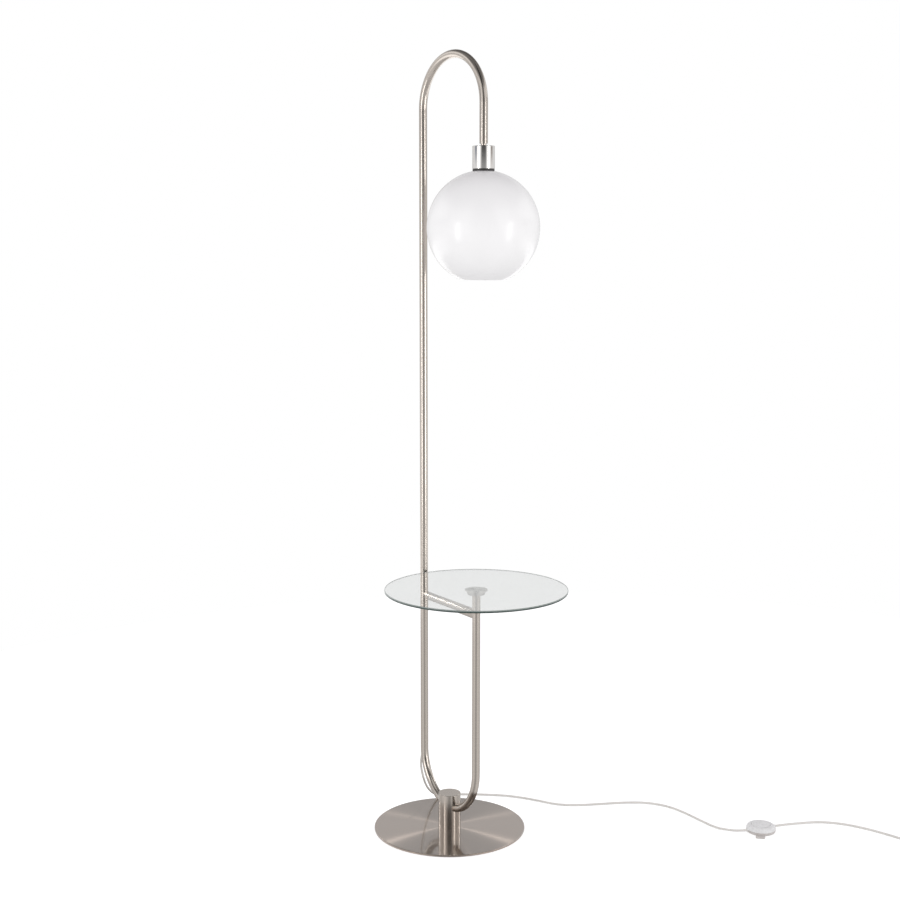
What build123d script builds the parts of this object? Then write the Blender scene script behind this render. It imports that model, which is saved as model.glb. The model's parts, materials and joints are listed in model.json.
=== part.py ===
"""Shelf floor lamp: a bent-tube pole with a round glass shelf, an arch and a hanging opal globe.

Millimetres, +Z up. The origin is the middle of the base on the floor. +X runs from the pole
towards the leg that carries the shelf.
"""
import math
import os

from build123d import *

# Frame of bent tube
overall_height = 1650.0
tube_diameter = 17.0
tube_wall = 1.2
bend_low_height = 49.0
arch_twist = 4.2
arch_tail = 63.0
drop_length = 80.5
joint_above_shelf = 8.0
coupler_length = 40.0
coupler_bore = 8.0
joint_chamfer = 0.3
tube_end_gap = 4.0
brace_diameter = 17.0
brace_wall = 1.2
brace_below_leg_top = 41.0

# Base and post
base_diameter = 326.0
plate_thickness = 4.0
plate_edge_round = 0.8
felt_thickness = 1.0
felt_margin = 4.0
post_diameter = 48.0
post_height = 74.0
post_edge_round = 0.7
post_screw_circle = 28.0
post_screw_count = 3
post_screw_diameter = 6.0
post_screw_length = 19.0
post_screw_head = 12.0
grub_diameter = 6.0
grub_offset = 13.0
hex_key = 3.0

# Shelf
shelf_diameter = 380.0
shelf_thickness = 5.0
shelf_height = 552.0
shelf_arris = 0.8
shelf_pole_gap = 9.5
flange_diameter = 47.0
flange_height = 11.0
flange_edge = 2.5
hub_large = 40.0
hub_small = 35.0
hub_round = 1.5
stud_diameter = 10.0
insert_length = 20.0

# Head
neck_gap = 4.5
collar_diameter = 11.5
nipple_diameter = 10.0
nipple_bore = 7.0
nipple_length = 31.0
drop_plug_length = 14.0
cup_diameter = 45.0
cup_height = 45.0
cup_wall = 1.0
cup_roof = 1.5
cup_round = 1.2
gasket_height = 5.0
gasket_inset = 0.5
nut_across_flats = 14.0
nut_height = 3.5
globe_diameter = 228.0
globe_wall = 3.0
globe_flat_margin = 1.5
globe_opening = 95.0
globe_lip = 1.0
holder_diameter = 39.5
holder_cap_drop = 6.5
holder_cap_height = 26.0
holder_cap_roof = 5.0
holder_cap_bore = 33.0
skirt_length = 44.0
skirt_bore = 31.0
skirt_spigot = 5.0
shell_outer = 28.4
shell_wall = 0.6
shell_length = 24.0
ledge_depth = 12.0
contact_diameter = 6.0
contact_height = 2.5
ring_diameter = 56.0
ring_height = 9.0
ring_round = 1.0
bulb_length = 107.0
bulb_diameter = 60.0
bulb_cap_length = 27.0
bulb_cap_diameter = 26.2
bulb_neck_diameter = 27.0
bulb_wall = 1.0
bulb_shoulder_angle = 40.0
bulb_shoulder_round = 24.0

# Mains lead
cord_diameter = 5.0
relief_drop = 17.0
relief_angle = 20.0
relief_length = 22.0
relief_large = 8.6
relief_small = 6.4
relief_neck = 7.4
relief_inside = 9.5
relief_lead = 8.0
lead_bend = 10.0
run_share = 0.45

# Foot switch
switch_place = (377.0, 559.0)
switch_heading = 77.0
switch_diameter = 63.0
switch_split = 6.5
switch_top = 15.5
switch_wall = 2.0
switch_floor = 2.0
switch_round = 3.0
switch_shoulder = 9.0
switch_neck_length = 3.5
switch_neck_large = 8.4
switch_neck_small = 6.6
switch_lead = 20.0
button_diameter = 40.0
button_rise = 1.5
button_crown = 2.5
button_wall = 2.0
button_flange = 2.5
button_flange_height = 1.5
button_travel = 3.0
button_stem = 5.0
spring_wire = 1.0
spring_diameter = 10.0
spring_turns = 3
block_length = 20.0
block_width = 13.0
block_height = 3.4
switch_screw_diameter = 2.6
switch_screw_head = 5.0
switch_boss_bite = 0.3
switch_screw_reach = 8.0
switch_boss = 6.4
tab_heading = -45.0
tab_width = 20.0
tab_reach = 14.0
tab_height = 3.0
tab_round = 4.0

# Coil of the lead that is put away, and its plug
coil_inner_radius = 21.0
coil_pitch = 6.6
coil_layer_rise = 5.6
coil_half_turns = 5
tie_thickness = 0.8
tie_width = 8.0
tie_slack = 0.3
plug_relief_length = 22.0
plug_relief_small = 7.0
plug_relief_large = 11.0
plug_shoulder = 10.0
plug_length = 22.0
plug_width = 24.0
plug_thickness = 14.0
plug_corner = 5.0
plug_face_round = 1.5
blade_length = 17.0
blade_width = 6.3
blade_thickness = 1.5
blade_spacing = 12.7

# Clearances
tube_fit = 0.05
screw_fit = 0.05
wire_fit = 0.05
holder_fit = 0.1
braze_gap = 0.05
bond_gap = 0.1
switch_slide = 0.4
stop_gap = 0.3
stem_gap = 0.4

# Heights and places that follow from the sizes above
tube_bore = tube_diameter - 2 * tube_wall
bend_radius = (shelf_diameter / 2 + shelf_pole_gap + tube_diameter / 2) / 2
plate_top = felt_thickness + plate_thickness
post_top = plate_top + post_height
lower_spring = bend_low_height + bend_radius
arch_spring = overall_height - tube_diameter / 2 - bend_radius
arch_joint = arch_spring - arch_tail
drop_end = arch_spring - drop_length
shelf_under = shelf_height - shelf_thickness
flange_seat = shelf_under - bond_gap
leg_top = flange_seat - flange_height
brace_height = leg_top - brace_below_leg_top
first_joint_height = shelf_height + joint_above_shelf
middle_joint = (first_joint_height + arch_joint) / 2
cup_top = drop_end - neck_gap
cup_bottom = cup_top - cup_height
globe_top = cup_bottom - gasket_height
globe_radius = globe_diameter / 2
globe_flat = cup_diameter / 2 + globe_flat_margin
globe_centre = globe_top - math.sqrt(globe_radius**2 - globe_flat**2)
globe_bottom = globe_centre - math.sqrt(globe_radius**2 - (globe_opening / 2) ** 2)
holder_top = cup_top - holder_cap_drop
holder_split = holder_top - holder_cap_height
skirt_bottom = holder_split - skirt_length
ledge = holder_split - ledge_depth
bulb_top = ledge - contact_height - holder_fit
pole_axis = (-bend_radius, 0.0)
leg_axis = (bend_radius, 0.0)
drop_axis = (
    -bend_radius + 2 * bend_radius * math.cos(math.radians(arch_twist)),
    2 * bend_radius * math.sin(math.radians(arch_twist)),
)
arch_plane = Plane(
    origin=(-bend_radius, 0, 0),
    x_dir=(math.cos(math.radians(arch_twist)), math.sin(math.radians(arch_twist)), 0),
    z_dir=(math.sin(math.radians(arch_twist)), -math.cos(math.radians(arch_twist)), 0),
)

STANDING = (Align.CENTER, Align.CENTER, Align.MIN)


def rod(diameter, low, high, axis=(0.0, 0.0)):
    """Round bar that stands between two heights."""
    return Pos(axis[0], axis[1], low) * Cylinder(diameter / 2, high - low, align=STANDING)


def sleeve(outer, inner, low, high, axis=(0.0, 0.0)):
    """Round tube that stands between two heights."""
    return rod(outer, low, high, axis) - rod(inner, low, high, axis)


def pipe(path, diameter):
    """Round bar along a path."""
    start = Plane(origin=path @ 0, z_dir=path % 0)
    return sweep(start * Circle(diameter / 2), path=path)


def turned(outline, axis=(0.0, 0.0)):
    """Solid of revolution from a closed outline of radius and height."""
    return Pos(axis[0], axis[1], 0) * revolve(Plane.XZ * make_face(outline), Axis.Z)


def hex_hole(across_flats, depth, place):
    """Hexagon socket to be cut from a screw head."""
    return place * extrude(RegularPolygon(across_flats / 2, 6, major_radius=False), depth)


def around(radius, count, start=0.0):
    """Places at equal angles on a circle."""
    return [Rot(0, 0, start + 360 * k / count) * Pos(radius, 0, 0) for k in range(count)]


# Centre lines of the bent tubes
end_trim = math.degrees(math.asin(tube_end_gap / 2 / bend_radius))


def foot_line(top):
    """Pole side of the lower bend, from the post up to a height."""
    bend = Plane.XZ * CenterArc((0, lower_spring), bend_radius, 270 - end_trim, end_trim - 90)
    rise = Line((*pole_axis, lower_spring), (*pole_axis, top))
    return Wire([bend, rise])


def leg_line(top):
    """Shelf side of the lower bend, from the post up to a height."""
    bend = Plane.XZ * CenterArc((0, lower_spring), bend_radius, 270 + end_trim, 90 - end_trim)
    rise = Line((*leg_axis, lower_spring), (*leg_axis, top))
    return Wire([bend, rise])


def arch_line(start_height, end_height):
    """Up from a height on the pole, over the arch and down to a height on the drop."""
    rise = arch_plane * Line((0, start_height), (0, arch_spring))
    bend = arch_plane * CenterArc((bend_radius, arch_spring), bend_radius, 180, -180)
    drop = arch_plane * Line((2 * bend_radius, arch_spring), (2 * bend_radius, end_height))
    return Wire([rise, bend, drop])


# Strain relief where the lead comes out of the pole
relief_direction = Vector(
    -math.sin(math.radians(relief_angle)), 0, -math.cos(math.radians(relief_angle))
)
relief_bend = math.asin(relief_drop / bend_radius)
relief_wall = Vector(
    -bend_radius * math.cos(relief_bend) - tube_diameter / 2, 0, lower_spring - relief_drop
)
relief_tip = relief_wall + relief_direction * relief_length
lead_corner = relief_wall - relief_direction * ((pole_axis[0] - relief_wall.X) / -relief_direction.X)


def along_relief(low, high, low_diameter, high_diameter):
    """Round or tapered bar on the axis of the strain relief, measured from the tube's wall."""
    start = Plane(origin=relief_wall + relief_direction * low, z_dir=relief_direction)
    if low_diameter == high_diameter:
        return start * Cylinder(low_diameter / 2, high - low, align=STANDING)
    return start * Cone(low_diameter / 2, high_diameter / 2, high - low, align=STANDING)


# Base and post


def make_base_plate():
    plate = rod(base_diameter, felt_thickness, plate_top)
    rim = plate.edges().filter_by(GeomType.CIRCLE).group_by(Axis.Z)[-1]
    plate = fillet(rim, plate_edge_round)
    for place in around(post_screw_circle / 2, post_screw_count):
        plate -= place * post_screw_shape(screw_fit)
    return plate


def make_base_felt():
    return rod(base_diameter - 2 * felt_margin, 0, felt_thickness)


def post_screw_shape(room):
    """Countersunk screw, flush with the underside of the plate, or the hole for it."""
    sink = (post_screw_head - post_screw_diameter) / 2
    head = Pos(0, 0, felt_thickness) * Cone(
        post_screw_head / 2 + room, post_screw_diameter / 2 + room, sink, align=STANDING
    )
    return head + rod(post_screw_diameter + 2 * room, felt_thickness, felt_thickness + post_screw_length)


def make_post_screws():
    sink = (post_screw_head - post_screw_diameter) / 2
    screw = post_screw_shape(0) - hex_hole(hex_key, sink / 2, Pos(0, 0, felt_thickness))
    return [place * screw for place in around(post_screw_circle / 2, post_screw_count)]


grub_height = lower_spring - math.sqrt(bend_radius**2 - grub_offset**2)
grub_tip = tube_diameter / 2 + tube_fit
grub_face = math.sqrt((post_diameter / 2) ** 2 - (grub_offset + grub_diameter / 2) ** 2)


def grub_place(side):
    """Axis of a grub screw, pointing from the tube out of the back of the post."""
    return Plane(origin=(side * grub_offset, grub_tip, grub_height), x_dir=(1, 0, 0), z_dir=(0, 1, 0))


def make_base_post():
    post = rod(post_diameter, plate_top, post_top)
    rim = post.edges().filter_by(GeomType.CIRCLE).group_by(Axis.Z)[-1]
    post = fillet(rim, post_edge_round)
    half_angle = math.degrees(math.asin((post_diameter / 2 + tube_diameter / 2) / bend_radius))
    bore_line = Plane.XZ * CenterArc((0, lower_spring), bend_radius, 270 - half_angle, 2 * half_angle)
    post -= pipe(bore_line, tube_diameter + 2 * tube_fit)
    for place in around(post_screw_circle / 2, post_screw_count):
        post -= place * post_screw_shape(screw_fit)
    for side in (-1, 1):
        hole = Cylinder(grub_diameter / 2 + screw_fit, post_diameter / 2, align=STANDING)
        post -= grub_place(side) * hole
    return post


def make_post_grub_screws():
    screws = []
    for side in (-1, 1):
        length = grub_face - grub_tip
        screw = Cylinder(grub_diameter / 2, length, align=STANDING)
        screw -= hex_hole(hex_key, length / 3, Pos(0, 0, length - length / 3))
        screws.append(grub_place(side) * screw)
    return screws


# Lower frame


def joint_groove(height):
    """Fine groove that the bevelled tube ends leave around a joint of the pole."""
    edge = tube_diameter / 2
    outline = Polyline(
        (edge + joint_chamfer, height - 2 * joint_chamfer),
        (edge + joint_chamfer, height + 2 * joint_chamfer),
        (edge - joint_chamfer, height),
        (edge + joint_chamfer, height - 2 * joint_chamfer),
    )
    return turned(outline, pole_axis)


def make_pole_foot_tube():
    line = foot_line(first_joint_height)
    tube = pipe(line, tube_diameter) - pipe(line, tube_bore)
    hole = relief_neck + 2 * wire_fit
    tube -= along_relief(-relief_inside - wire_fit, tube_diameter, hole, hole)
    return tube - joint_groove(first_joint_height)


def make_shelf_leg_tube():
    line = leg_line(leg_top)
    return pipe(line, tube_diameter) - pipe(line, tube_bore)


def make_brace_bar():
    middle = Plane(origin=(-bend_radius, 0, brace_height), x_dir=(0, 1, 0), z_dir=(1, 0, 0))
    bar = middle * Cylinder(brace_diameter / 2, 2 * bend_radius, align=STANDING)
    bar -= middle * Cylinder(brace_diameter / 2 - brace_wall, 2 * bend_radius, align=STANDING)
    seat = tube_diameter + 2 * braze_gap
    for axis in (pole_axis, leg_axis):
        bar -= rod(seat, brace_height - brace_diameter, brace_height + brace_diameter, axis)
    return bar


# Shelf


def make_leg_insert():
    outer = tube_bore - 2 * tube_fit
    return sleeve(outer, stud_diameter + 2 * screw_fit, leg_top - insert_length, leg_top, leg_axis)


def make_shelf_flange():
    disc = rod(flange_diameter, flange_seat - flange_edge, flange_seat, leg_axis)
    hub = Cone(hub_small / 2, hub_large / 2, flange_height - flange_edge, align=STANDING)
    low_rim = hub.edges().filter_by(GeomType.CIRCLE).group_by(Axis.Z)[0]
    hub = Pos(*leg_axis, leg_top) * fillet(low_rim, hub_round)
    return disc + hub + rod(stud_diameter, leg_top - insert_length, leg_top, leg_axis)


def make_glass_shelf():
    pane = rod(shelf_diameter, shelf_under, shelf_height, leg_axis)
    return chamfer(pane.edges().filter_by(GeomType.CIRCLE), shelf_arris)


# Pole and arch


def make_pole_lower_tube():
    tube = sleeve(tube_diameter, tube_bore, first_joint_height, middle_joint, pole_axis)
    return tube - joint_groove(first_joint_height) - joint_groove(middle_joint)


def make_pole_upper_tube():
    tube = sleeve(tube_diameter, tube_bore, middle_joint, arch_joint, pole_axis)
    return tube - joint_groove(middle_joint) - joint_groove(arch_joint)


def make_pole_couplers():
    outer = tube_bore - 2 * tube_fit
    half = coupler_length / 2
    joints = (first_joint_height, middle_joint, arch_joint)
    return [sleeve(outer, coupler_bore, z - half, z + half, pole_axis) for z in joints]


def make_arch_tube():
    line = arch_line(arch_joint, drop_end)
    return pipe(line, tube_diameter) - pipe(line, tube_bore) - joint_groove(arch_joint)


# Head: neck, cup and lampholder
nipple_top = drop_end + drop_plug_length
nipple_bottom = nipple_top - nipple_length


def make_drop_plug():
    outer = tube_bore - 2 * tube_fit
    return sleeve(outer, nipple_diameter + 2 * screw_fit, drop_end, nipple_top, drop_axis)


def make_neck_nipple():
    return sleeve(nipple_diameter, nipple_bore, nipple_bottom, nipple_top, drop_axis)


def make_neck_collar():
    return sleeve(collar_diameter, nipple_diameter + 2 * screw_fit, cup_top, drop_end, drop_axis)


def make_socket_cup():
    cup = rod(cup_diameter, cup_bottom, cup_top, drop_axis)
    rim = cup.edges().filter_by(GeomType.CIRCLE).group_by(Axis.Z)[-1]
    cup = fillet(rim, cup_round)
    cup -= rod(cup_diameter - 2 * cup_wall, cup_bottom, cup_top - cup_roof, drop_axis)
    return cup - rod(nipple_diameter + 2 * screw_fit, cup_bottom, cup_top, drop_axis)


def make_shade_gasket():
    outer = cup_diameter - 2 * gasket_inset
    return sleeve(outer, holder_diameter + 2 * gasket_inset, globe_top, cup_bottom, drop_axis)


def make_cup_nut():
    under = cup_top - cup_roof
    hexagon = RegularPolygon(nut_across_flats / 2, 6, major_radius=False)
    hexagon -= Circle(nipple_diameter / 2 + screw_fit)
    return Pos(*drop_axis, under - nut_height) * extrude(hexagon, nut_height)


def make_lampholder_cap():
    cap = rod(holder_diameter, holder_split, holder_top, drop_axis)
    rim = cap.edges().filter_by(GeomType.CIRCLE).group_by(Axis.Z)[-1]
    cap = fillet(rim, cup_round)
    cap -= rod(holder_cap_bore, holder_split, holder_top - holder_cap_roof, drop_axis)
    return cap - rod(nipple_diameter + 2 * screw_fit, holder_split, holder_top, drop_axis)


def make_lampholder_skirt():
    skirt = rod(holder_diameter, skirt_bottom, holder_split, drop_axis)
    spigot_top = holder_split + skirt_spigot
    skirt += rod(holder_cap_bore - 2 * holder_fit, holder_split, spigot_top, drop_axis)
    skirt -= rod(skirt_bore, ledge, spigot_top, drop_axis)
    return skirt - rod(shell_outer + 2 * holder_fit, skirt_bottom, ledge, drop_axis)


def make_contact_block():
    return rod(skirt_bore - 2 * holder_fit, ledge, holder_split + skirt_spigot, drop_axis)


def make_screw_shell():
    return sleeve(shell_outer, shell_outer - 2 * shell_wall, ledge - shell_length, ledge, drop_axis)


def make_centre_contact():
    contact = rod(contact_diameter, ledge - contact_height, ledge, drop_axis)
    low_rim = contact.edges().filter_by(GeomType.CIRCLE).group_by(Axis.Z)[0]
    return fillet(low_rim, contact_height / 3)


# Shade and its ring


def make_globe_shade():
    inner_radius = globe_radius - globe_wall
    hole = holder_diameter / 2 + 2 * holder_fit
    inner_top = globe_centre + math.sqrt(inner_radius**2 - hole**2)
    inner_mouth = math.sqrt(inner_radius**2 - (globe_centre - globe_bottom) ** 2)
    mouth_edge = (globe_opening / 2, globe_bottom)
    outside = ThreePointArc((globe_flat, globe_top), (globe_radius, globe_centre), mouth_edge)
    inside = ThreePointArc((inner_mouth, globe_bottom), (inner_radius, globe_centre), (hole, inner_top))
    lip = Line(mouth_edge, (inner_mouth, globe_bottom))
    throat = Line((hole, inner_top), (hole, globe_top))
    flat = Line((hole, globe_top), (globe_flat, globe_top))
    globe = turned(outside + lip + inside + throat + flat, drop_axis)
    mouth = globe.edges().filter_by(GeomType.CIRCLE).group_by(Axis.Z)[0]
    return fillet(mouth, globe_lip)


def make_shade_ring():
    inner_radius = globe_radius - globe_wall
    seat = globe_centre + math.sqrt(inner_radius**2 - (holder_diameter / 2) ** 2)
    ring = rod(ring_diameter, seat - ring_height, seat, drop_axis)
    low_rim = ring.edges().filter_by(GeomType.CIRCLE).group_by(Axis.Z)[0]
    ring = fillet(low_rim, ring_round)
    ring -= rod(holder_diameter + 2 * holder_fit, seat - ring_height, seat, drop_axis)
    return ring & (Pos(*drop_axis, globe_centre) * Sphere(inner_radius - tube_fit))


# Bulb


def bulb_form(inset):
    """Pear shape of the bulb, or of the hollow inside it."""
    radius = bulb_diameter / 2 - inset
    neck = bulb_neck_diameter / 2 - inset
    centre = bulb_top - bulb_length + bulb_diameter / 2
    angle = math.radians(bulb_shoulder_angle)
    shoulder = (radius * math.cos(angle), centre + radius * math.sin(angle))
    bend = (neck, shoulder[1] + (shoulder[0] - neck) / math.tan(angle))
    top = bulb_top - bulb_cap_length
    belly = (shoulder[0], centre - radius * math.sin(angle))
    ball = ThreePointArc((0, centre - radius), belly, shoulder)
    slope = FilletPolyline(shoulder, bend, (neck, top), radius=bulb_shoulder_round)
    lid = Polyline((neck, top), (0, top), (0, centre - radius))
    return turned(ball + slope + lid, drop_axis)


def make_bulb_glass():
    return bulb_form(0) - bulb_form(bulb_wall)


def make_bulb_cap():
    low = bulb_top - bulb_cap_length
    shell_top = bulb_top - bulb_cap_length / 4
    radius = bulb_cap_diameter / 2
    outline = Polyline(
        (0, low),
        (radius, low),
        (radius, shell_top),
        (contact_diameter, bulb_top - contact_height),
        (contact_diameter / 2, bulb_top),
        (0, bulb_top),
        (0, low),
    )
    return turned(outline, drop_axis)


# Lead inside the frame and strain relief


def make_inner_lead():
    over = arch_line(lead_corner.Z + 2 * tube_diameter, holder_split + skirt_spigot)
    entry = FilletPolyline(relief_tip, lead_corner, over @ 0, radius=lead_bend)
    return pipe(Wire(entry.edges() + over.edges()), cord_diameter)


def make_cord_relief():
    outside = along_relief(-tube_diameter / 2, relief_length, relief_large, relief_small)
    outside -= pipe(foot_line(first_joint_height), tube_diameter + 2 * wire_fit)
    sleeve_part = along_relief(-relief_inside, relief_length / 2, relief_neck, relief_neck)
    bore = cord_diameter + 2 * wire_fit
    return outside + sleeve_part - along_relief(-tube_diameter, relief_length, bore, bore)


# Route of the free lead on the floor


def switch_point(forward, height):
    """Point on the foot switch's cord line, ahead of its middle."""
    angle = math.radians(switch_heading)
    x = switch_place[0] + forward * math.cos(angle)
    y = switch_place[1] + forward * math.sin(angle)
    return (x, y, height)


switch_cord_route = [
    (-121.0, 2.0, 94.0),
    (-122.5, 7.0, 76.0),
    (-129.0, 16.0, 57.0),
    (-138.0, 30.0, 37.5),
    (-149.0, 51.0, 18.0),
    (-158.0, 78.0, 5.0),
    (-159.0, 104.0, 2.5),
    (-137.0, 139.0, 2.5),
    (-108.0, 180.0, 2.5),
    (-72.0, 219.0, 2.5),
    (-24.0, 249.0, 2.5),
    (26.0, 274.0, 2.5),
    (53.0, 313.0, 2.5),
    (75.0, 364.0, 2.5),
    (97.0, 416.0, 2.5),
    (126.0, 457.0, 2.5),
    (171.0, 481.0, 2.5),
    (222.0, 485.0, 2.5),
    (271.0, 484.0, 2.5),
    (316.0, 485.0, 2.5),
    (341.0, 493.0, 4.5),
]
plug_cord_route = [
    (395.0, 650.0, 3.5),
    (411.0, 697.0, 2.5),
    (443.0, 731.0, 2.5),
    (484.0, 753.0, 2.5),
    (530.0, 768.0, 2.5),
    (575.5, 775.6, 3.5),
    (612.0, 781.4, 3.5),
]
switch_edge = switch_diameter / 2
switch_cord_points = [
    tuple(relief_tip),
    tuple(relief_tip + relief_direction * relief_lead),
    *switch_cord_route,
    switch_point(-switch_edge - switch_lead, switch_split),
    switch_point(-switch_edge, switch_split),
]
plug_cord_points = [
    switch_point(switch_edge, switch_split),
    switch_point(switch_edge + switch_lead, switch_split),
    *plug_cord_route,
]


def free_cord(name, points):
    """Lead along a route: straight runs joined by arcs as large as the runs leave room for."""
    corners = [Vector(*point) for point in points]
    radii = []
    for before, here, after in zip(corners, corners[1:], corners[2:]):
        half_turn = math.radians((here - before).get_angle(after - here)) / 2
        shorter = min((here - before).length, (after - here).length)
        radii.append(run_share * shorter / math.tan(half_turn))
    path = FilletPolyline(*corners, radius=radii)
    cord = pipe(path, cord_diameter)
    expected = path.length * math.pi * cord_diameter**2 / 4
    print(name, "length", round(path.length, 1), "volume share", round(cord.volume / expected, 5))
    print(name, "radii", [round(radius, 1) for radius in radii])
    return cord


# Foot switch, made around its own middle with the cord along X
switch_frame = Pos(*switch_place, 0) * Rot(0, 0, switch_heading)
switch_screw_radius = switch_edge - switch_wall - switch_boss / 2 + switch_boss_bite
switch_screw_places = around(switch_screw_radius, 4, 45)
button_radius = button_diameter / 2
button_rim = switch_top + button_rise
cover_under = switch_top - switch_wall
flange_top = cover_under - stop_gap
flange_low = flange_top - button_flange_height
stem_low = switch_floor + block_height + stem_gap + button_travel


def switch_necks():
    """Tapered necks at both ends, with the bore for the lead."""
    necks = []
    for side in (-1, 1):
        start = Plane(origin=(side * (switch_edge - switch_wall), 0, switch_split), z_dir=(side, 0, 0))
        length = switch_neck_length + switch_wall
        neck = Cone(switch_neck_large / 2, switch_neck_small / 2, length, align=STANDING)
        necks.append(start * neck)
    return necks


def switch_bores():
    """Holes that the lead comes in through."""
    line = Plane(origin=(0, 0, switch_split), z_dir=(1, 0, 0))
    whole = line * Cylinder(cord_diameter / 2 + wire_fit, switch_diameter + 4 * switch_neck_length)
    return whole - rod(switch_diameter - 2 * switch_wall, 0, switch_top)


def half_space(low, high):
    """Everything of the switch between two heights."""
    return rod(2 * switch_diameter, low, high)


def make_switch_base():
    shell = rod(switch_diameter, 0, switch_split)
    low_rim = shell.edges().filter_by(GeomType.CIRCLE).group_by(Axis.Z)[0]
    shell = fillet(low_rim, switch_round)
    shell -= rod(switch_diameter - 2 * switch_wall, switch_floor, switch_split)
    for place in switch_screw_places:
        shell += place * rod(switch_boss, switch_floor, switch_split)
    for neck in switch_necks():
        shell += neck & half_space(0, switch_split)
    tab = extrude(RectangleRounded(tab_reach + switch_wall, tab_width, tab_round), tab_height)
    tab_place = Rot(0, 0, tab_heading - switch_heading)
    shell += tab_place * Pos(switch_edge + (tab_reach - switch_wall) / 2, 0, 0) * tab
    for place in switch_screw_places:
        shell -= place * rod(switch_screw_diameter + 2 * screw_fit, 0, switch_split)
        shell -= place * rod(switch_screw_head + 2 * screw_fit, 0, switch_floor)
    return switch_frame * (shell - switch_bores())


def cover_outline(inset):
    """Domed side and flat top of the cover, drawn in by a wall."""
    edge = switch_edge - inset
    top = switch_top - inset
    shoulder = edge - switch_shoulder
    side = TangentArc((shoulder, top), (edge, switch_split), tangent=(1, 0))
    rest = Polyline((shoulder, top), (0, top), (0, switch_split), (edge, switch_split))
    return turned(side + rest)


def make_switch_cover():
    cover = cover_outline(0) - cover_outline(switch_wall)
    inside = cover_outline(switch_wall / 2)
    for place in switch_screw_places:
        cover += (place * rod(switch_boss, switch_split, switch_top)) & inside
    for neck in switch_necks():
        cover += neck & half_space(switch_split, switch_top + switch_neck_large)
    cover -= rod(button_diameter + 2 * switch_slide, switch_split, switch_top)
    for place in switch_screw_places:
        reach = switch_floor + switch_screw_reach
        cover -= place * rod(switch_screw_diameter + 2 * screw_fit, switch_split, reach)
    room = button_diameter + 2 * (button_flange + switch_slide)
    keep_clear = sleeve(room, button_diameter, flange_low - button_travel, cover_under)
    return switch_frame * (cover - keep_clear - switch_bores())


def make_foot_button():
    crown = TangentArc((0, button_rim + button_crown), (button_radius, button_rim), tangent=(1, 0))
    flange = button_radius + button_flange
    inside = button_radius - button_wall
    ceiling = button_rim - button_wall
    rest = Polyline(
        (0, button_rim + button_crown),
        (0, stem_low),
        (button_stem / 2, stem_low),
        (button_stem / 2, ceiling),
        (inside, ceiling),
        (inside, flange_low),
        (flange, flange_low),
        (flange, flange_top),
        (button_radius, flange_top),
        (button_radius, button_rim),
    )
    return switch_frame * turned(crown + rest)


def half_climb(start, radius, rise):
    """Half turn that climbs: two equal arcs that meet in one direction half way up."""
    side = 1 if start.X > 0 else -1
    crest = math.sqrt(radius**2 + rise**2 / 4)
    middle = start + Vector(-side * radius, side * crest, rise / 2)
    end = start + Vector(-2 * side * radius, 0, rise)
    first = TangentArc(start, middle, tangent=(0, side, 0))
    second = TangentArc(middle, end, tangent=first % 1)
    return [first, second]


def half_flat(start, radius):
    """Half turn that stays level."""
    side = 1 if start.X > 0 else -1
    middle = start + Vector(-side * radius, side * radius, 0)
    end = start + Vector(-2 * side * radius, 0, 0)
    return [ThreePointArc(start, middle, end)]


def make_button_spring():
    """Round-wire spring: each turn is a level half and a climbing half."""
    low = switch_floor + block_height + spring_wire / 2
    high = button_rim - button_wall - spring_wire / 2
    rise = (high - low) / spring_turns
    radius = spring_diameter / 2
    edges = []
    point = Vector(radius, 0, low)
    for _ in range(spring_turns):
        edges += half_flat(point, radius)
        edges += half_climb(edges[-1] @ 1, radius, rise)
        point = edges[-1] @ 1
    edges += half_flat(point, radius)
    print("button spring gap between turns", round(rise - spring_wire, 2))
    return switch_frame * pipe(Wire(edges), spring_wire)


def make_switch_block():
    block = Box(block_length, block_width, block_height, align=STANDING)
    return switch_frame * Pos(0, 0, switch_floor) * block


def make_switch_screws():
    low = stop_gap
    screws = []
    for place in switch_screw_places:
        screw = rod(switch_screw_head, low, switch_floor)
        screw += rod(switch_screw_diameter, switch_floor, switch_floor + switch_screw_reach)
        slot = Pos(0, 0, low) * Box(switch_screw_head, switch_screw_diameter / 4, switch_floor / 2)
        screws.append(switch_frame * place * (screw - slot))
    return screws


# Coil, tie and plug, made around the coil's middle with the lead coming in along +Y
coil_outer_radius = coil_inner_radius + coil_half_turns * coil_pitch / 2
coil_start = Vector(*plug_cord_route[-1])
coil_before = Vector(*plug_cord_route[-2])
coil_heading = math.degrees(math.atan2(coil_start.Y - coil_before.Y, coil_start.X - coil_before.X)) - 90
coil_frame = Pos(*coil_start) * Rot(0, 0, coil_heading) * Pos(-coil_outer_radius, cord_diameter, 0)


def coil_line():
    """One unbroken line: in on the lower layer, up in the half turn at the middle, out on the upper."""
    point = Vector(coil_outer_radius, 0, 0)
    edges = [Line(point - Vector(0, cord_diameter, 0), point)]
    radius = coil_outer_radius - coil_pitch / 4
    for _ in range(coil_half_turns):
        edges += half_flat(point, radius)
        point = edges[-1] @ 1
        radius -= coil_pitch / 2
    edges += half_climb(point, coil_inner_radius, coil_layer_rise)
    point = edges[-1] @ 1
    radius = coil_inner_radius + coil_pitch / 4
    for _ in range(coil_half_turns):
        edges += half_flat(point, radius)
        point = edges[-1] @ 1
        radius += coil_pitch / 2
    edges.append(Line(point, point - Vector(0, cord_diameter, 0)))
    return Wire(edges)


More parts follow.
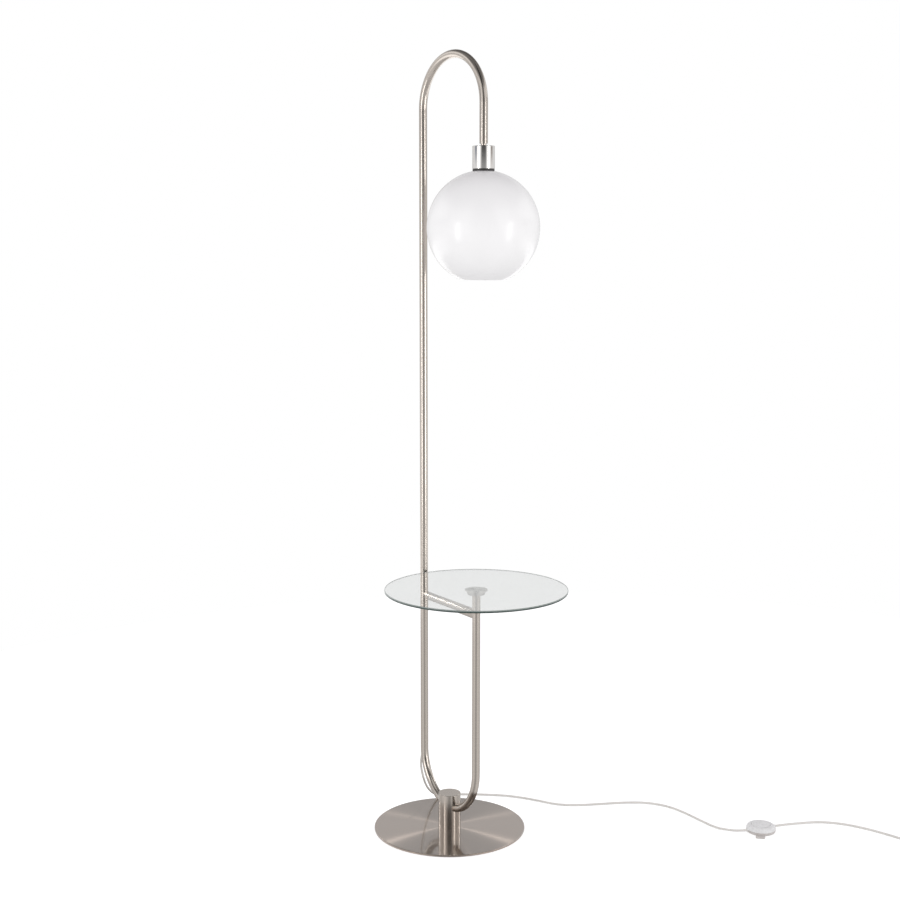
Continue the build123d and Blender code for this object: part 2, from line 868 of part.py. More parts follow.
def least_gap(line, diameter, count=900):
    """Smallest room between turns, measured between points that are a half turn or more apart."""
    points = [line @ (k / count) for k in range(count + 1)]
    apart = int(count * math.pi * coil_inner_radius / line.length)
    gaps = [
        (points[i] - points[j]).length
        for i in range(len(points))
        for j in range(i + apart, len(points))
    ]
    return min(gaps) - diameter


def make_cord_coil():
    line = coil_line()
    coil = pipe(line, cord_diameter)
    expected = line.length * math.pi * cord_diameter**2 / 4
    print("coil length", round(line.length, 1), "volume share", round(coil.volume / expected, 5))
    print("coil least gap", round(least_gap(line, cord_diameter), 2))
    return coil_frame * coil


def make_coil_tie():
    inner = coil_inner_radius - cord_diameter / 2 - tie_slack
    outer = coil_outer_radius + cord_diameter / 2 + tie_slack
    low = -cord_diameter / 2 - tie_slack / 2
    high = coil_layer_rise + cord_diameter / 2 + tie_slack
    middle = Plane(origin=(0, (inner + outer) / 2, (low + high) / 2), x_dir=(0, 1, 0), z_dir=(1, 0, 0))
    room = RectangleRounded(outer - inner, high - low, cord_diameter / 4)
    band = RectangleRounded(
        outer - inner + 2 * tie_thickness, high - low + 2 * tie_thickness, cord_diameter / 4 + tie_thickness
    )
    strap = extrude(middle * (band - room), tie_width / 2, both=True)
    return coil_frame * strap


plug_frame = coil_frame * Pos(-coil_outer_radius, -cord_diameter, coil_layer_rise) * Rot(90, 0, 0)


def make_plug_body():
    taper = Cone(plug_relief_small / 2, plug_relief_large / 2, plug_relief_length, align=STANDING)
    wide = RectangleRounded(plug_width, plug_thickness, plug_corner)
    wide = Pos(0, 0, plug_relief_length + plug_shoulder) * wide
    narrow = Pos(0, 0, plug_relief_length) * Circle(plug_relief_large / 2)
    shoulder = loft([narrow, wide])
    body = extrude(wide, plug_length)
    face = body.faces().sort_by(Axis.Z)[-1]
    body = fillet(face.edges(), plug_face_round)
    return plug_frame * (taper + shoulder + body)


def make_plug_blades():
    low = plug_relief_length + plug_shoulder + plug_length
    blade = Pos(0, 0, low) * Box(blade_thickness, blade_width, blade_length, align=STANDING)
    return [plug_frame * Pos(side * blade_spacing / 2, 0, 0) * blade for side in (-1, 1)]


def make_switch_cord():
    return free_cord("switch cord", switch_cord_points)


def make_plug_cord():
    return free_cord("plug cord", plug_cord_points)


NODES = {
    "base_plate": make_base_plate,
    "base_felt": make_base_felt,
    "base_post": make_base_post,
    "post_screws": make_post_screws,
    "post_grub_screws": make_post_grub_screws,
    "pole_foot_tube": make_pole_foot_tube,
    "shelf_leg_tube": make_shelf_leg_tube,
    "brace_bar": make_brace_bar,
    "leg_insert": make_leg_insert,
    "shelf_flange": make_shelf_flange,
    "glass_shelf": make_glass_shelf,
    "pole_lower_tube": make_pole_lower_tube,
    "pole_upper_tube": make_pole_upper_tube,
    "pole_couplers": make_pole_couplers,
    "arch_tube": make_arch_tube,
    "drop_plug": make_drop_plug,
    "neck_nipple": make_neck_nipple,
    "neck_collar": make_neck_collar,
    "socket_cup": make_socket_cup,
    "shade_gasket": make_shade_gasket,
    "cup_nut": make_cup_nut,
    "lampholder_cap": make_lampholder_cap,
    "lampholder_skirt": make_lampholder_skirt,
    "contact_block": make_contact_block,
    "screw_shell": make_screw_shell,
    "centre_contact": make_centre_contact,
    "shade_ring": make_shade_ring,
    "globe_shade": make_globe_shade,
    "bulb_glass": make_bulb_glass,
    "bulb_cap": make_bulb_cap,
    "inner_lead": make_inner_lead,
    "cord_relief": make_cord_relief,
    "switch_cord": make_switch_cord,
    "switch_base": make_switch_base,
    "switch_cover": make_switch_cover,
    "foot_button": make_foot_button,
    "button_spring": make_button_spring,
    "switch_block": make_switch_block,
    "switch_screws": make_switch_screws,
    "plug_cord": make_plug_cord,
    "cord_coil": make_cord_coil,
    "coil_tie": make_coil_tie,
    "plug_body": make_plug_body,
    "plug_blades": make_plug_blades,
}

os.makedirs("parts", exist_ok=True)
for node, make in NODES.items():
    shape = make()
    if isinstance(shape, list):
        shape = Compound(children=shape)
    export_step(shape, f"parts/{node}.step")
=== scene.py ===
"""Looks of the shelf floor lamp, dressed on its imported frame."""
import json
import math

import bpy
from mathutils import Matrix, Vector


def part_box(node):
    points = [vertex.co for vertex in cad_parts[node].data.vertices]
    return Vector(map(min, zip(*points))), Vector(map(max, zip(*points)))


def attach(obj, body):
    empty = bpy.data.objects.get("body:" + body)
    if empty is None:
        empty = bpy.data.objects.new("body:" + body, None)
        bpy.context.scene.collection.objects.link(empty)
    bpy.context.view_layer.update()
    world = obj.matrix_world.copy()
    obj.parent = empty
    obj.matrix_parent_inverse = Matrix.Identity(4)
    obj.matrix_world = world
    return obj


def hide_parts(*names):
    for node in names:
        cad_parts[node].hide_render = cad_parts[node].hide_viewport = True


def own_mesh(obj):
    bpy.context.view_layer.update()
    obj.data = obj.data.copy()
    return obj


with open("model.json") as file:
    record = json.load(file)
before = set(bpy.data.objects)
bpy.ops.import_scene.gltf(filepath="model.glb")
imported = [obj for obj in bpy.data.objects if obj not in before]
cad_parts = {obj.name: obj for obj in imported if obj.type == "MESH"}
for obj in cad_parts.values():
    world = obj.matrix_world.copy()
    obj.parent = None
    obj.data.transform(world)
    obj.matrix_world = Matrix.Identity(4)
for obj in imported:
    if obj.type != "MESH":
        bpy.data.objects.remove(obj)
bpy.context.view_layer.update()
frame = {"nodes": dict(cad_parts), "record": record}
nodes = frame["nodes"]
scene = bpy.context.scene
scene.view_settings.view_transform = "Standard"

# Camera, as fitted to the photo
PICTURE_WIDTH = 900
VIEW_AZIMUTH = 57.77
VIEW_PITCH = 7.84
FOCAL_PIXELS = 1488.86
CENTRE_OFFSET_PIXELS = 0.49
CAMERA_DISTANCE = 3.1019
CAMERA_HEIGHT = 1.2567
SENSOR_WIDTH = 36.0

azimuth = math.radians(VIEW_AZIMUTH)
FRONT = Vector((math.sin(azimuth), -math.cos(azimuth), 0.0))
RIGHT = Vector((math.cos(azimuth), math.sin(azimuth), 0.0))
camera_data = bpy.data.cameras.new("camera")
camera_data.sensor_width = SENSOR_WIDTH
camera_data.lens = FOCAL_PIXELS / PICTURE_WIDTH * SENSOR_WIDTH
camera = bpy.data.objects.new("camera", camera_data)
camera.location = FRONT * CAMERA_DISTANCE + Vector((0, 0, CAMERA_HEIGHT))
camera_turn = azimuth - math.atan(CENTRE_OFFSET_PIXELS / FOCAL_PIXELS)
camera.rotation_euler = (math.radians(90 - VIEW_PITCH), 0, camera_turn)
scene.collection.objects.link(camera)
scene.camera = camera

# Lead: the route of the solids, in metres
CORD_DIAMETER = 0.005
SWITCH_PLACE = Vector((0.377, 0.559, 0.0065))
SWITCH_EDGE = 0.0315
SWITCH_LEAD = 0.020
SWITCH_HEADING = math.radians(77.0)
SWITCH_ALONG = Vector((math.cos(SWITCH_HEADING), math.sin(SWITCH_HEADING), 0))
RELIEF_TIP = (-0.118626, 0.0, 0.115327)

switch_cord_points = [
    RELIEF_TIP,
    (-0.121362, 0.0, 0.107809),
    (-0.121, 0.002, 0.094),
    (-0.1225, 0.007, 0.076),
    (-0.129, 0.016, 0.057),
    (-0.138, 0.030, 0.0375),
    (-0.149, 0.051, 0.018),
    (-0.158, 0.078, 0.005),
    (-0.159, 0.104, 0.0025),
    (-0.137, 0.139, 0.0025),
    (-0.108, 0.180, 0.0025),
    (-0.072, 0.219, 0.0025),
    (-0.024, 0.249, 0.0025),
    (0.026, 0.274, 0.0025),
    (0.053, 0.313, 0.0025),
    (0.075, 0.364, 0.0025),
    (0.097, 0.416, 0.0025),
    (0.126, 0.457, 0.0025),
    (0.171, 0.481, 0.0025),
    (0.222, 0.485, 0.0025),
    (0.271, 0.484, 0.0025),
    (0.316, 0.485, 0.0025),
    (0.341, 0.493, 0.0045),
    SWITCH_PLACE - SWITCH_ALONG * (SWITCH_EDGE + SWITCH_LEAD),
    SWITCH_PLACE - SWITCH_ALONG * SWITCH_EDGE,
]
plug_cord_points = [
    SWITCH_PLACE + SWITCH_ALONG * SWITCH_EDGE,
    SWITCH_PLACE + SWITCH_ALONG * (SWITCH_EDGE + SWITCH_LEAD),
    (0.395, 0.650, 0.0035),
    (0.411, 0.697, 0.0025),
    (0.443, 0.731, 0.0025),
    (0.484, 0.753, 0.0025),
    (0.530, 0.768, 0.0025),
    (0.5755, 0.7756, 0.0035),
    (0.612, 0.7814, 0.0035),
]
COIL_INNER_RADIUS = 0.021
COIL_PITCH = 0.0066
COIL_LAYER_RISE = 0.0056
COIL_HALF_TURNS = 5
COIL_POINTS_PER_TURN = 16

# Fineness of the drawn lead: steps between points, steps round it, and order of its curve
CORD_STEPS = 6
CORD_ROUND_STEPS = 4
CORD_ORDER = 3


def coil_points():
    """Turns of the put-away lead: in on the lower layer, up in a half turn, out on the upper."""
    outer = COIL_INNER_RADIUS + COIL_HALF_TURNS * COIL_PITCH / 2
    start, before = Vector(plug_cord_points[-1]), Vector(plug_cord_points[-2])
    along = (start - before).normalized()
    across = Vector((along.y, -along.x, 0))
    centre = start - across * outer + along * CORD_DIAMETER
    # The curve runs inside its points, so they stand a little wide of the turns
    wide = 1 / math.cos(math.pi / COIL_POINTS_PER_TURN)
    half = COIL_POINTS_PER_TURN // 2
    points = []
    for step in range((2 * COIL_HALF_TURNS + 1) * half + 1):
        half_turns = step / half
        inward = min(half_turns, COIL_HALF_TURNS)
        outward = max(half_turns - COIL_HALF_TURNS - 1, 0)
        climb = min(max(half_turns - COIL_HALF_TURNS, 0), 1)
        radius = (outer - (inward - outward) * COIL_PITCH / 2) * wide
        angle = math.pi * half_turns
        flat = across * (radius * math.cos(angle)) + along * (radius * math.sin(angle))
        points.append(centre + flat + Vector((0, 0, COIL_LAYER_RISE * climb)))
    points.append(centre - across * outer - along * CORD_DIAMETER + Vector((0, 0, COIL_LAYER_RISE)))
    return points


def cord_curve(name, points):
    """Lead as a smooth curve along its points."""
    data = bpy.data.curves.new(name, "CURVE")
    data.dimensions = "3D"
    data.resolution_u = CORD_STEPS
    data.bevel_depth = 1.0
    data.bevel_resolution = CORD_ROUND_STEPS
    data.use_fill_caps = True
    spline = data.splines.new("NURBS")
    spline.points.add(len(points) - 1)
    for target, point in zip(spline.points, points):
        target.co = (*point, 1.0)
        target.radius = CORD_DIAMETER / 2
    spline.order_u = CORD_ORDER
    spline.use_endpoint_u = True
    piece = bpy.data.objects.new(name, data)
    scene.collection.objects.link(piece)
    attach(piece, "lamp")
    return piece


# Spring of the foot switch, which shortens as the button goes down: here a copy of its solid, with a mesh of
# its own
spring_solid = nodes["button_spring"]
spring = bpy.data.objects.new("switch_spring", spring_solid.data.copy())
spring.matrix_world = spring_solid.matrix_world
scene.collection.objects.link(spring)
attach(spring, "lamp")
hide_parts("button_spring")
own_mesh(spring)

# The two lengths of lead, with what hangs on each
switch_lead = cord_curve("switch_lead", switch_cord_points)
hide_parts("switch_cord")
plug_lead = cord_curve("plug_lead", plug_cord_points + coil_points()[1:])
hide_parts("plug_cord", "cord_coil")

# Range that most values of a noise lie in
NOISE_LOW = 0.3
NOISE_HIGH = 0.7
# Sockets of Blender's mix node that take and give colours
MIX_FIRST = 6
MIX_SECOND = 7
MIX_RESULT = 2


def new_material(name):
    """New material, with its node tree and shader."""
    material = bpy.data.materials.new(name)
    material.use_nodes = True
    return material, material.node_tree, material.node_tree.nodes["Principled BSDF"]


def add(tree, kind, inputs=None, **settings):
    """New node with its settings, and with values or links on its inputs."""
    node = tree.nodes.new(kind)
    for key, value in settings.items():
        setattr(node, key, value)
    for key, value in (inputs or {}).items():
        if isinstance(value, bpy.types.NodeSocket):
            tree.links.new(value, node.inputs[key])
        else:
            node.inputs[key].default_value = value
    return node


def ramp(tree, value, stops):
    """Colour ramp over a value, from (place, grey or colour) stops."""
    node = add(tree, "ShaderNodeValToRGB", {"Fac": value})
    band = node.color_ramp
    while len(band.elements) < len(stops):
        band.elements.new(0.5)
    for element, (place, level) in zip(band.elements, stops):
        element.position = place
        element.color = (*level, 1.0) if isinstance(level, tuple) else (level, level, level, 1.0)
    return node.outputs["Color"]


def map_range(tree, value, from_low=0.0, from_high=1.0, to_low=0.0, to_high=1.0):
    """Value carried from one range to another."""
    limits = {"From Min": from_low, "From Max": from_high, "To Min": to_low, "To Max": to_high}
    return add(tree, "ShaderNodeMapRange", {"Value": value, **limits}).outputs["Result"]


def mix(tree, factor, first, second, blend="MIX"):
    """First colour, passing into the second as the factor rises."""
    inputs = {"Factor": factor, MIX_FIRST: first, MIX_SECOND: second}
    return add(tree, "ShaderNodeMix", inputs, data_type="RGBA", blend_type=blend).outputs[MIX_RESULT]


def math_node(tree, operation, a, b=0.0):
    """Result of an operation on one or two values."""
    return add(tree, "ShaderNodeMath", {0: a, 1: b}, operation=operation).outputs["Value"]


def dot(tree, a, b):
    """Dot product of two vectors."""
    return add(tree, "ShaderNodeVectorMath", {0: a, 1: b}, operation="DOT_PRODUCT").outputs["Value"]


def flattened(tree, vector):
    """Vector without its upward part."""
    inputs = {0: vector, 1: (1, 1, 0)}
    return add(tree, "ShaderNodeVectorMath", inputs, operation="MULTIPLY").outputs["Vector"]


def upward(tree, vector):
    """Upward part of a vector."""
    return add(tree, "ShaderNodeSeparateXYZ", {"Vector": vector}).outputs["Z"]


def shift(colour, factor):
    """Colour made lighter or darker."""
    return tuple(min(1.0, c * factor) for c in colour)


def vary(tree, shader, colour, spread, noise):
    """Base colour that drifts a little with a noise value."""
    low, high = shift(colour, 1 - spread), shift(colour, 1 + spread)
    drifting = ramp(tree, noise, [(NOISE_LOW, low), (NOISE_HIGH, high)])
    tree.links.new(drifting, shader.inputs["Base Color"])


def rough(tree, shader, level, spread, noise):
    """Roughness that drifts a little with a noise value."""
    drifting = map_range(tree, noise, to_low=level - spread, to_high=level + spread)
    tree.links.new(drifting, shader.inputs["Roughness"])


def stretched_noise(tree, scale, detail=4.0):
    """Noise stretched by a scale for each axis, per metre."""
    place = add(tree, "ShaderNodeTexCoord").outputs["Object"]
    mapped = add(tree, "ShaderNodeMapping", {"Vector": place, "Scale": scale}).outputs["Vector"]
    return add(tree, "ShaderNodeTexNoise", {"Vector": mapped, "Scale": 1.0, "Detail": detail}).outputs["Fac"]


def bump(tree, shader, height, distance, strength):
    """Fine relief from a height value, at most a distance in metres."""
    node = add(tree, "ShaderNodeBump", {"Height": height, "Distance": distance, "Strength": strength})
    tree.links.new(node.outputs["Normal"], shader.inputs["Normal"])


# Materials: colours are linear, scales of marks are per metre, roughness drifts by a share of itself
NICKEL = (0.54, 0.489, 0.443)
PLATE_NICKEL = (0.39, 0.314, 0.262)
METAL_DRIFT = 0.05
METAL_WAVES = (12, 12, 12)
PLATE_RINGS = 900.0
OPAL_WHITE = (0.92, 0.915, 0.92)
FACE_DARK = (0.86, 0.872, 0.867)
FACE_PALE = (0.88, 0.892, 0.887)
RIM_DARK = (0.03, 0.065, 0.055)
# Pale upper part of the ground edge: a painted highlight standing in for light caught on its top arris
RIM_PAINTED_HIGHLIGHT = (0.42, 0.47, 0.45)
RIM_DARK_TO = 0.45
RIM_HIGHLIGHT_FROM = 0.75
RIM_ROUGHNESS = 0.25
RIM_CLEARNESS = 0.3
# Upward part of the normal over which a face of the glass counts as level
LEVEL_FACE = 0.9
FELT_BLACK = (0.03, 0.03, 0.032)
PLASTIC_DRIFT = 0.2
PLASTIC_GRAIN = (900, 900, 900)


def metal(name, colour, roughness, scale, spread):
    """Brushed or polished metal with fine marks in one direction."""
    material, tree, shader = new_material(name)
    shader.inputs["Metallic"].default_value = 1.0
    marks = stretched_noise(tree, scale)
    vary(tree, shader, colour, spread, marks)
    rough(tree, shader, roughness, roughness * METAL_DRIFT, marks)
    waves = stretched_noise(tree, METAL_WAVES, detail=1.0)
    bump(tree, shader, waves, distance=0.00005, strength=0.1)
    return material


def plate_nickel():
    """Nickel brushed in circles about the lamp's axis, under a clear lacquer."""
    material, tree, shader = new_material("plate_nickel")
    shader.inputs["Metallic"].default_value = 1.0
    place = add(tree, "ShaderNodeTexCoord").outputs["Object"]
    flat = flattened(tree, place)
    radius = add(tree, "ShaderNodeVectorMath", {0: flat}, operation="LENGTH").outputs["Value"]
    ring_inputs = {"W": radius, "Scale": PLATE_RINGS, "Detail": 3.0}
    rings = add(tree, "ShaderNodeTexNoise", ring_inputs, noise_dimensions="1D").outputs["Fac"]
    vary(tree, shader, PLATE_NICKEL, spread=0.05, noise=rings)
    rough(tree, shader, level=0.24, spread=0.03, noise=rings)
    shader.inputs["Anisotropic"].default_value = 1.0
    shader.inputs["Anisotropic Rotation"].default_value = 0.25
    tangent = add(tree, "ShaderNodeTangent", direction_type="RADIAL", axis="Z").outputs["Tangent"]
    tree.links.new(tangent, shader.inputs["Tangent"])
    bump(tree, shader, rings, distance=0.000005, strength=0.05)
    shader.inputs["Coat Weight"].default_value = 1.0
    shader.inputs["Coat IOR"].default_value = 2.0
    shader.inputs["Coat Roughness"].default_value = 0.07
    return material


def plastic(name, colour, roughness, spread, scale, transmission):
    """Moulded plastic, rubber or frosted glass with a faint mottle and grain."""
    material, tree, shader = new_material(name)
    mottle = stretched_noise(tree, (scale, scale, scale))
    vary(tree, shader, colour, spread, mottle)
    rough(tree, shader, roughness, roughness * PLASTIC_DRIFT, mottle)
    shader.inputs["Transmission Weight"].default_value = transmission
    shader.inputs["IOR"].default_value = 1.48
    grain = stretched_noise(tree, PLASTIC_GRAIN)
    bump(tree, shader, grain, distance=0.0001, strength=0.15)
    return material


def opal_glass():
    """Opal white glass with a glossy skin."""
    material, tree, shader = new_material("opal_glass")
    cloud = stretched_noise(tree, scale=(9, 9, 9), detail=2.0)
    vary(tree, shader, OPAL_WHITE, spread=0.012, noise=cloud)
    rough(tree, shader, level=0.24, spread=0.02, noise=cloud)
    shader.inputs["IOR"].default_value = 1.5
    shader.inputs["Coat Weight"].default_value = 0.15
    shader.inputs["Coat Roughness"].default_value = 0.08
    return material


def clear_glass():
    """Clear sheet glass, green where it is seen through its ground edge, with a painted highlight that
    lightens the edge towards its top.
    """
    material, tree, shader = new_material("clear_glass")
    normal = add(tree, "ShaderNodeNewGeometry").outputs["Normal"]
    flatness = math_node(tree, "ABSOLUTE", upward(tree, normal))
    on_face = math_node(tree, "GREATER_THAN", flatness, LEVEL_FACE)
    drift = stretched_noise(tree, scale=(14, 14, 14), detail=2.0)
    face = ramp(tree, drift, [(NOISE_LOW, FACE_DARK), (NOISE_HIGH, FACE_PALE)])
    place = add(tree, "ShaderNodeTexCoord").outputs["Object"]
    lowest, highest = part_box("glass_shelf")
    depth = map_range(tree, upward(tree, place), lowest.z, highest.z)
    # Rim colour by height: dark green below, then a painted highlight towards the top edge
    rim = ramp(tree, depth, [(RIM_DARK_TO, RIM_DARK), (RIM_HIGHLIGHT_FROM, RIM_PAINTED_HIGHLIGHT)])
    tree.links.new(mix(tree, on_face, rim, face), shader.inputs["Base Color"])
    roughness = map_range(tree, on_face, to_low=RIM_ROUGHNESS, to_high=0.0)
    clearness = map_range(tree, on_face, to_low=RIM_CLEARNESS, to_high=1.0)
    tree.links.new(roughness, shader.inputs["Roughness"])
    tree.links.new(clearness, shader.inputs["Transmission Weight"])
    shader.inputs["IOR"].default_value = 1.5
    return material


def felt():
    """Black pressed felt with raised fibres."""
    material, tree, shader = new_material("felt")
    fibre = stretched_noise(tree, scale=(700, 700, 700), detail=8.0)
    vary(tree, shader, FELT_BLACK, spread=0.5, noise=fibre)
    shader.inputs["Roughness"].default_value = 0.95
    bump(tree, shader, fibre, distance=0.0003, strength=0.8)
    return material


# Name, colour, roughness, scale of the marks along each axis, and spread of the colour
METALS = [
    ("satin_nickel", NICKEL, 0.2, (30, 30, 700), 0.03),
    ("brace_nickel", NICKEL, 0.38, (30, 700, 700), 0.03),
    ("flange_nickel", (0.62, 0.60, 0.58), 0.22, (30, 30, 300), 0.05),
    ("polished_nickel", (0.78, 0.76, 0.74), 0.05, (30, 30, 300), 0.01),
    ("plain_steel", (0.50, 0.50, 0.51), 0.32, (300, 300, 300), 0.1),
    ("spring_steel", (0.55, 0.55, 0.56), 0.25, (500, 500, 500), 0.1),
    ("brass", (0.75, 0.55, 0.25), 0.28, (300, 300, 300), 0.1),
    ("bulb_metal", (0.70, 0.70, 0.71), 0.25, (60, 60, 1500), 0.08),
]
# Name, colour, roughness, spread of the colour, scale of the mottle, and share of light let through
PLASTICS = [
    ("frosted_glass", (0.92, 0.91, 0.88), 0.45, 0.02, 60, 0.0),
    ("dark_rubber", (0.035, 0.033, 0.032), 0.45, 0.2, 300, 0.0),
    ("holder_plastic", (0.85, 0.85, 0.83), 0.4, 0.03, 40, 0.0),
    ("insulator", (0.80, 0.78, 0.72), 0.55, 0.05, 80, 0.0),
    ("clear_plastic", (0.86, 0.84, 0.80), 0.3, 0.03, 60, 0.1),
    ("switch_plastic", (0.93, 0.93, 0.93), 0.3, 0.07, 240, 0.1),
    # Darker, browner copy of the switch's plastic: painted shade on the lower half of the switch
    ("switch_painted_shade", (0.70, 0.665, 0.64), 0.35, 0.1, 240, 0.1),
]
# Nodes whose look departs from that of their slot in the record
SPECIAL = {
    "base_plate": "plate_nickel",
    "shelf_flange": "flange_nickel",
    "brace_bar": "brace_nickel",
    # The switch's base takes the darker copy of its plastic as painted shade
    "switch_base": "switch_painted_shade",
}
materials = {
    "plate_nickel": plate_nickel(),
    "opal_glass": opal_glass(),
    "clear_glass": clear_glass(),
    "felt": felt(),
}
for row in METALS:
    materials[row[0]] = metal(*row)
for row in PLASTICS:
    materials[row[0]] = plastic(*row)


def dress(piece, look):
    """Give a piece its material."""
    piece.data.materials.clear()
    piece.data.materials.append(materials[look])


slot_of = {part["node"]: part["material_slot"] for part in frame["record"]["subparts"]}
for name, node in nodes.items():
    dress(node, SPECIAL.get(name, slot_of[name]))
dress(spring, "spring_steel")
dress(switch_lead, "clear_plastic")
dress(plug_lead, "clear_plastic")

# Stage: the floor
FLOOR_RADIUS = 2.2
FLOOR_CORNERS = 96
FLOOR_PLACE = (0.15, 0.25, -0.0004)
FLOOR_GREY = (0.8, 0.8, 0.8)
FLOOR_GLOW = 0.6
WHITE = (1, 1, 1, 1)
# Brightness in mirrored rays, from the lamp's front (0) round to behind it (1)
FLOOR_ROUND = [
    (0.0, 0.45),
    (0.04, 0.47),
    (0.1, 0.72),
    (0.25, 0.92),
    (0.36, 0.88),
    (0.5, 0.72),
    (1.0, 0.72),
]


def floor_material():
    """White paper that glows to the eye, white through glass, and shaded in mirrored rays."""
    material, tree, shader = new_material("floor")
    grain = stretched_noise(tree, scale=(30, 30, 30), detail=2.0)
    vary(tree, shader, FLOOR_GREY, spread=0.005, noise=grain)
    shader.inputs["Roughness"].default_value = 1.0
    shader.inputs["Specular IOR Level"].default_value = 0.0
    path = add(tree, "ShaderNodeLightPath").outputs
    shader.inputs["Emission Color"].default_value = WHITE
    glow = math_node(tree, "MULTIPLY", path["Is Camera Ray"], FLOOR_GLOW)
    tree.links.new(glow, shader.inputs["Emission Strength"])
    place = add(tree, "ShaderNodeNewGeometry").outputs["Position"]
    aside = math_node(tree, "ABSOLUTE", dot(tree, place, RIGHT))
    angle = math_node(tree, "ARCTAN2", aside, dot(tree, place, FRONT))
    mirrored = ramp(tree, math_node(tree, "DIVIDE", angle, math.pi), FLOOR_ROUND)
    # A ray through glass counts as glossy too, so it is taken off
    bounced = math_node(tree, "SUBTRACT", path["Is Glossy Ray"], path["Is Transmission Ray"])
    level = mix(tree, bounced, WHITE, mirrored)
    studio = add(tree, "ShaderNodeEmission", {"Color": level}).outputs["Emission"]
    indirect = math_node(tree, "MAXIMUM", path["Is Glossy Ray"], path["Is Transmission Ray"])
    shaders = {0: indirect, 1: shader.outputs["BSDF"], 2: studio}
    shown = add(tree, "ShaderNodeMixShader", shaders).outputs["Shader"]
    tree.links.new(shown, tree.nodes["Material Output"].inputs["Surface"])
    return material


def make_floor():
    """Round floor under the lamp."""
    angles = [2 * math.pi * corner / FLOOR_CORNERS for corner in range(FLOOR_CORNERS)]
    rim = [(FLOOR_RADIUS * math.cos(angle), FLOOR_RADIUS * math.sin(angle), 0) for angle in angles]
    mesh = bpy.data.meshes.new("floor")
    mesh.from_pydata(rim, [], [list(range(FLOOR_CORNERS))])
    mesh.materials.append(floor_material())
    floor = bpy.data.objects.new("floor", mesh)
    floor.location = FLOOR_PLACE
    scene.collection.objects.link(floor)


# Stage: the studio's walls in mirrored rays, from behind the lamp (0) round to its front (1)
BROWN = (0.22, 0.185, 0.163)
BLUE = (0.25, 0.275, 0.325)
BACK = [(0.0, 0.63), (0.067, 0.67), (0.18, 0.82)]
SIDES = [(0.5, 0.96), (0.63, 1.04), (0.75, 1.19), (0.9, 1.26)]
FLAG_RIGHT = [(0.40, 0.74), (0.42, BROWN), (0.56, BROWN), (0.58, 0.82), (0.75, 1.26), (0.9, 1.26)]
FLAG_LEFT = [(0.40, 0.74), (0.42, BLUE), (0.62, BLUE), (0.64, 0.89), (0.75, 1.26), (0.9, 1.26)]
LOW_FRONT = [(0.945, 0.7), (0.975, 0.44), (1.0, 0.43)]
HIGH_FRONT = [(0.945, 0.52), (0.975, 0.09), (1.0, 0.06)]
TALL_BACK = [(0.0, 0.66), (0.067, 0.69), (0.18, 0.84), (0.25, 1.25), (0.45, 1.25)]
TALL_FRONT = [(0.6, 0.9), (0.93, 1.1), (0.97, 0.25), (1.0, 0.2)]
SWEEP = [(0.0, 1.7), (0.4, 1.7), (0.6, 0.95), (1.0, 0.67)]
# Upward part of a ray where the high walls, the tall walls and the floor's sweep begin and are full
HIGH_EDGE = (0.05, 0.062)
TALL_EDGE = (0.16, 0.21)
SWEEP_EDGE = (-0.17, -0.25)
# Over the same upward part: shade of the mirrored ceiling, and the sky that lights the lamp
CEILING = [(0.0, 1.0), (0.48, 1.0), (0.62, 0.34), (0.8, 0.19), (1.0, 0.24)]
SKY = [(0.0, 1.04), (0.3, 0.96), (0.7, (0.70, 0.68, 0.70)), (1.0, (0.56, 0.54, 0.56))]


def mirrored_studio(tree, way, height):
    """Studio as mirrored rays see it, by their heading and height."""
    flat = flattened(tree, way)
    heading = add(tree, "ShaderNodeVectorMath", {0: flat}, operation="NORMALIZE").outputs["Vector"]
    around = map_range(tree, dot(tree, heading, FRONT), from_low=-1.0, from_high=1.0)
    on_right = math_node(tree, "GREATER_THAN", dot(tree, heading, RIGHT), 0.0)
    high_left = ramp(tree, around, BACK + FLAG_LEFT + HIGH_FRONT)
    high_right = ramp(tree, around, BACK + FLAG_RIGHT + HIGH_FRONT)
    zones = [
        (HIGH_EDGE, mix(tree, on_right, high_left, high_right)),
        (TALL_EDGE, ramp(tree, around, TALL_BACK + TALL_FRONT)),
        (SWEEP_EDGE, ramp(tree, around, SWEEP)),
    ]
    walls = ramp(tree, around, BACK + SIDES + LOW_FRONT)
    for edge, zone in zones:
        walls = mix(tree, map_range(tree, height, *edge), walls, zone)
    return mix(tree, 1.0, walls, ramp(tree, height, CEILING), blend="MULTIPLY")


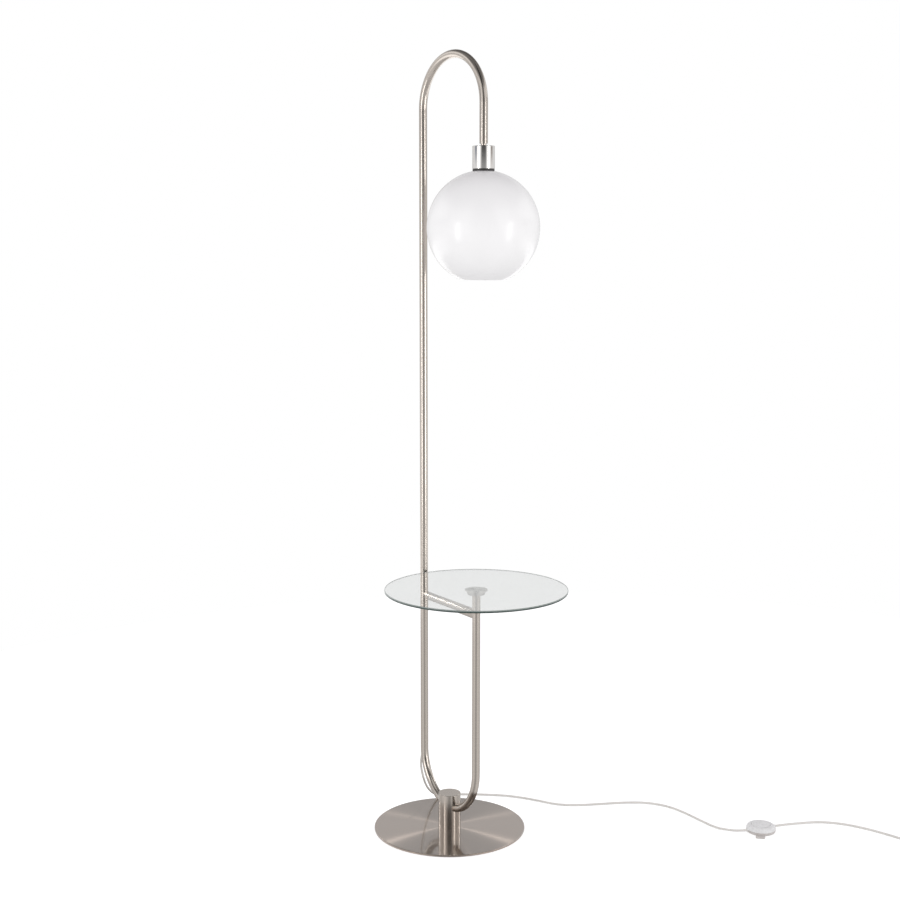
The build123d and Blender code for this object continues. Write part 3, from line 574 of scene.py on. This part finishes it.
def make_world():
    """Plain white to look at, a soft sky as light, and in mirrored rays a studio with dim parts."""
    world = bpy.data.worlds.new("studio")
    scene.world = world
    world.use_nodes = True
    tree = world.node_tree
    way = add(tree, "ShaderNodeTexCoord").outputs["Generated"]
    height = upward(tree, way)
    path = add(tree, "ShaderNodeLightPath").outputs
    studio = mirrored_studio(tree, way, height)
    fill = mix(tree, path["Is Glossy Ray"], ramp(tree, height, SKY), studio)
    direct = math_node(tree, "MAXIMUM", path["Is Camera Ray"], path["Is Transmission Ray"])
    background = tree.nodes["Background"]
    tree.links.new(mix(tree, direct, fill, WHITE), background.inputs["Color"])
    background.inputs["Strength"].default_value = 1.0


# Stage: the lights
LIGHT_DISTANCE = 3.0
SPOT_CONE = math.radians(8.0)
SPOT_BLEND = 0.4


def hang(name, light, side_angle, height, aim_height):
    """Light at an angle off the lamp's front and a height, aimed at a height on the lamp's axis."""
    lamp = bpy.data.objects.new(name, light)
    angle = math.radians(side_angle)
    way = FRONT * math.cos(angle) + RIGHT * math.sin(angle)
    lamp.location = way * LIGHT_DISTANCE + Vector((0, 0, height))
    aim = Vector((0, 0, aim_height)) - lamp.location
    lamp.rotation_euler = aim.to_track_quat("-Z", "Y").to_euler()
    scene.collection.objects.link(lamp)


def panel(name, side_angle, height, size, watts):
    """Level softbox."""
    light = bpy.data.lights.new(name, "AREA")
    light.shape = "RECTANGLE"
    light.size, light.size_y = size
    light.energy = watts
    hang(name, light, side_angle, height, height)


def spot(name, side_angle, height, aim_height, watts, radius):
    """Narrow spotlight."""
    light = bpy.data.lights.new(name, "SPOT")
    light.energy = watts
    light.spot_size = SPOT_CONE
    light.spot_blend = SPOT_BLEND
    light.shadow_soft_size = radius
    hang(name, light, side_angle, height, aim_height)


make_floor()
make_world()
# Softboxes at the front, and from behind the spots that draw the lines on plate, post and brace
for side in (-1, 1):
    panel(f"front_box_{side}", side_angle=side * 52, height=0.93, size=(0.45, 1.65), watts=10)
    spot(f"plate_spot_{side}", side_angle=side * 160, height=2.18, aim_height=0.0, watts=16, radius=0.03)
    spot(f"post_spot_{side}", side_angle=side * 126, height=1.18, aim_height=0.03, watts=22, radius=0.25)
spot("brace_spot", side_angle=-120, height=1.56, aim_height=0.495, watts=85, radius=0.2)
